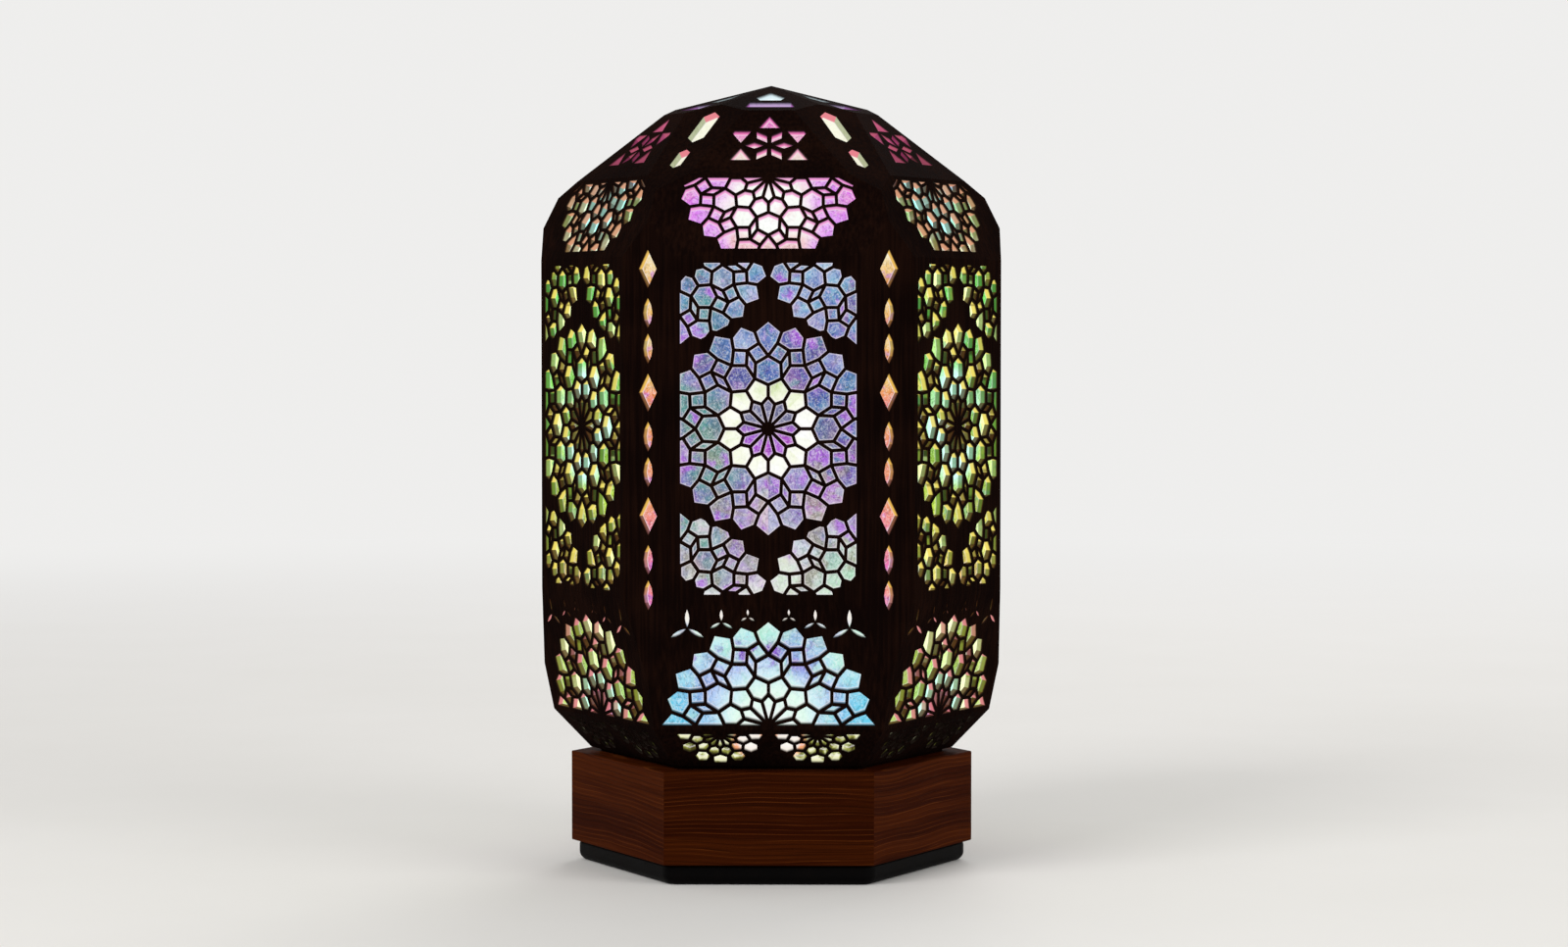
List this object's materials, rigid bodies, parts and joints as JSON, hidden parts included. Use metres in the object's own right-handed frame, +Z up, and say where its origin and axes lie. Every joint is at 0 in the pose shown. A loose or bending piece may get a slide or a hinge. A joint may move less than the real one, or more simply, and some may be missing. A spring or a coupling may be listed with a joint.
{
  "type": "sensory lamp",
  "caption": "Lit table lamp: a faceted plywood shade with rosette cut-outs over coloured film lifts off a hexagonal wooden base with a rocker switch and a low-voltage inlet.",
  "frame": {"origin": "on the standing surface, under the lamp's axis", "axes": "+Z up the lamp's axis; the front flat faces -Y and the switch and inlet face +Y"},
  "size_m": [0.2118, 0.1966, 0.36],
  "materials": {
    "shade_ply": "dark brown stain, matt, with darker cut edges",
    "film": "thin iridescent film, lit from behind",
    "base_wood": "red-brown hardwood, oiled, grain along the board",
    "inner_ply": "bare plywood",
    "foot_black": "black paint, satin",
    "steel": "zinc plated",
    "brass": "satin",
    "ceramic": "glazed ceramic",
    "emitter": "warm white, lit",
    "clear": "clear",
    "black_plastic": "matt",
    "rocker_plastic": "satin",
    "wire": "insulated"
  },
  "bodies": {
    "base": {"base_board_1": "base_wood", "base_board_2": "base_wood", "base_board_3": "base_wood", "base_board_4": "base_wood", "base_board_5": "base_wood", "base_board_6": "base_wood", "deck": "inner_ply", "locating_ring": "inner_ply", "corner_blocks": "inner_ply", "foot": "foot_black", "foot_screws": "steel", "stem": "steel", "stem_fasteners": "brass", "lamp_holder": "ceramic", "lamp_base": "ceramic", "lamp_pins": "steel", "emitter_core": "emitter", "lamp_capsule": "clear", "dc_inlet": "black_plastic", "dc_inlet_nut": "brass", "switch_housing": "black_plastic", "lead_wires": "wire"},
    "shade": {"main_panel_1": "shade_ply", "main_panel_2": "shade_ply", "main_panel_3": "shade_ply", "main_panel_4": "shade_ply", "main_panel_5": "shade_ply", "main_panel_6": "shade_ply", "upper_panel_1": "shade_ply", "upper_panel_2": "shade_ply", "upper_panel_3": "shade_ply", "upper_panel_4": "shade_ply", "upper_panel_5": "shade_ply", "upper_panel_6": "shade_ply", "lower_panel_1": "shade_ply", "lower_panel_2": "shade_ply", "lower_panel_3": "shade_ply", "lower_panel_4": "shade_ply", "lower_panel_5": "shade_ply", "lower_panel_6": "shade_ply", "crown_panel_1": "shade_ply", "crown_panel_2": "shade_ply", "crown_panel_3": "shade_ply", "crown_panel_4": "shade_ply", "crown_panel_5": "shade_ply", "crown_panel_6": "shade_ply", "corner_strips": "shade_ply", "crown_strips": "shade_ply", "cap_facets": "shade_ply", "skirt_panels": "shade_ply", "floor_ring": "shade_ply", "main_films": "film", "upper_films": "film", "lower_films": "film", "crown_films": "film", "corner_films": "film", "crown_strip_films": "film", "cap_films": "film", "skirt_films": "film"},
    "rocker": {"switch_rocker": "rocker_plastic"}
  },
  "joints": [
    {"name": "shade_lift", "type": "slide", "parent": "base", "child": "shade", "axis": [0, 0, 1], "range_m": [0, 0.27]},
    {"name": "rocker_tilt", "type": "hinge", "parent": "base", "child": "rocker", "pos_m": [-0.013, 0.0808, 0.03], "axis": [0, 0, 1], "range_deg": [-18, 0]}
  ]
}
